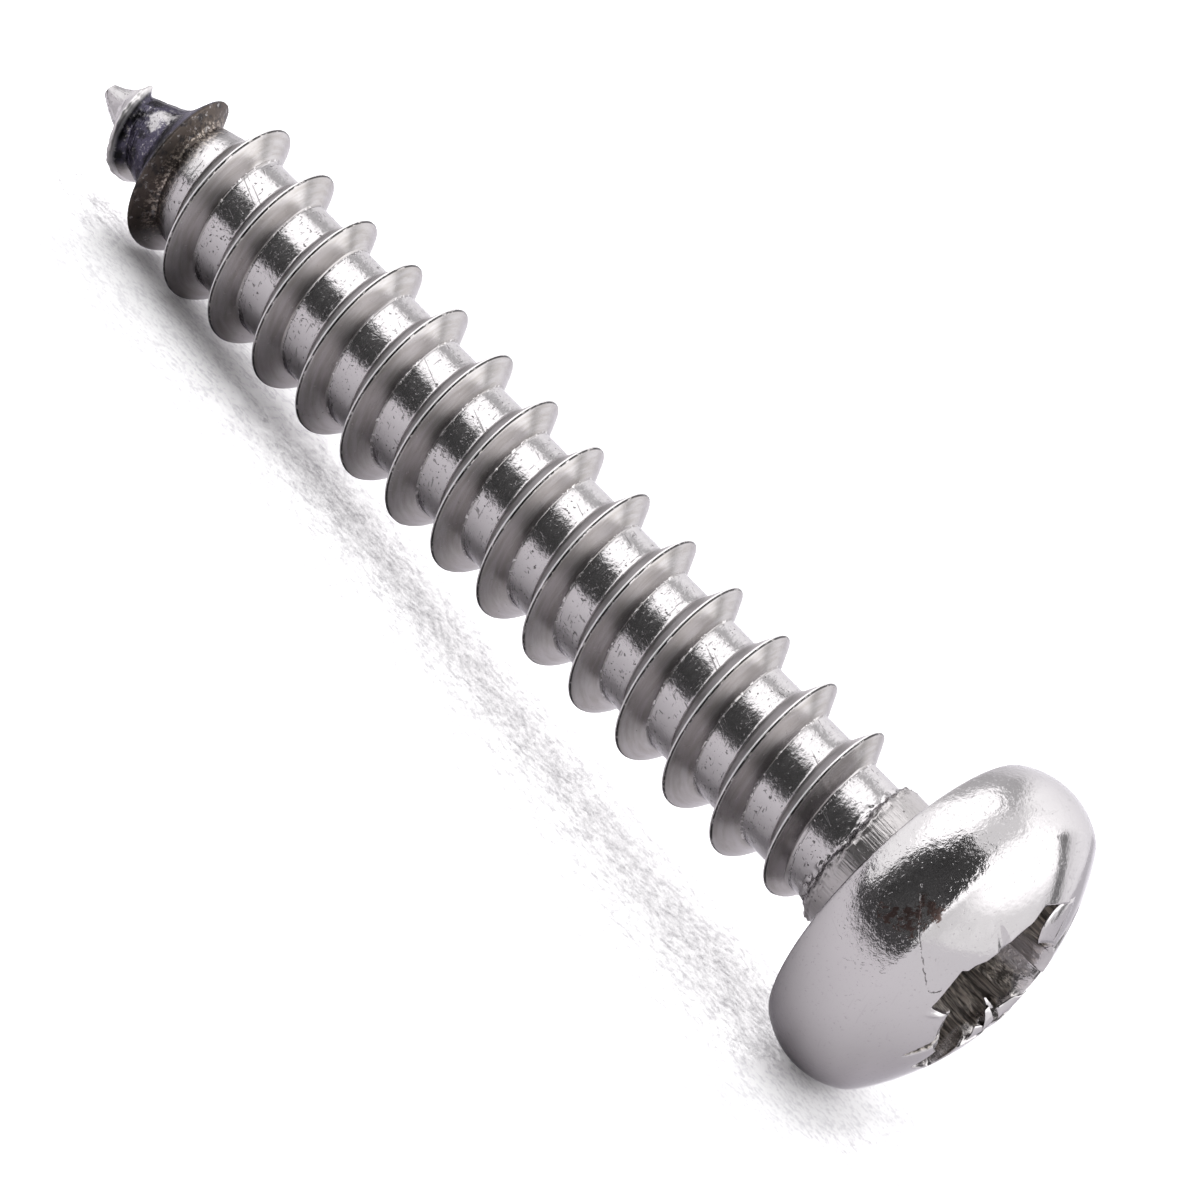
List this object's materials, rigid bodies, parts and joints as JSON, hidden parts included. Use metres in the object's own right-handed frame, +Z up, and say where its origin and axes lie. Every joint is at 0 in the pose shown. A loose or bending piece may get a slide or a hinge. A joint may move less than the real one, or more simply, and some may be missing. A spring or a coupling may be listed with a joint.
{
  "type": "pan head self-tapping screw",
  "caption": "Pan head self-tapping screw with a coarse thread, a plain collar, a sharp threaded point and a cross recess with marks between its wings, lying at rest.",
  "frame": {"origin": "on the surface that the screw lies on, under the middle of its length and width", "axes": "+X from the tip towards the head along the surface, +Y across the screw, +Z up; the screw's own axis lies in the XZ plane and climbs about 5 degrees towards the head"},
  "size_m": [0.0276, 0.0078, 0.0077],
  "materials": {
    "plated_steel": "bright plating with fine scratches, pits and handling marks"
  },
  "bodies": {
    "root": {"screw": "plated_steel"}
  },
  "joints": []
}
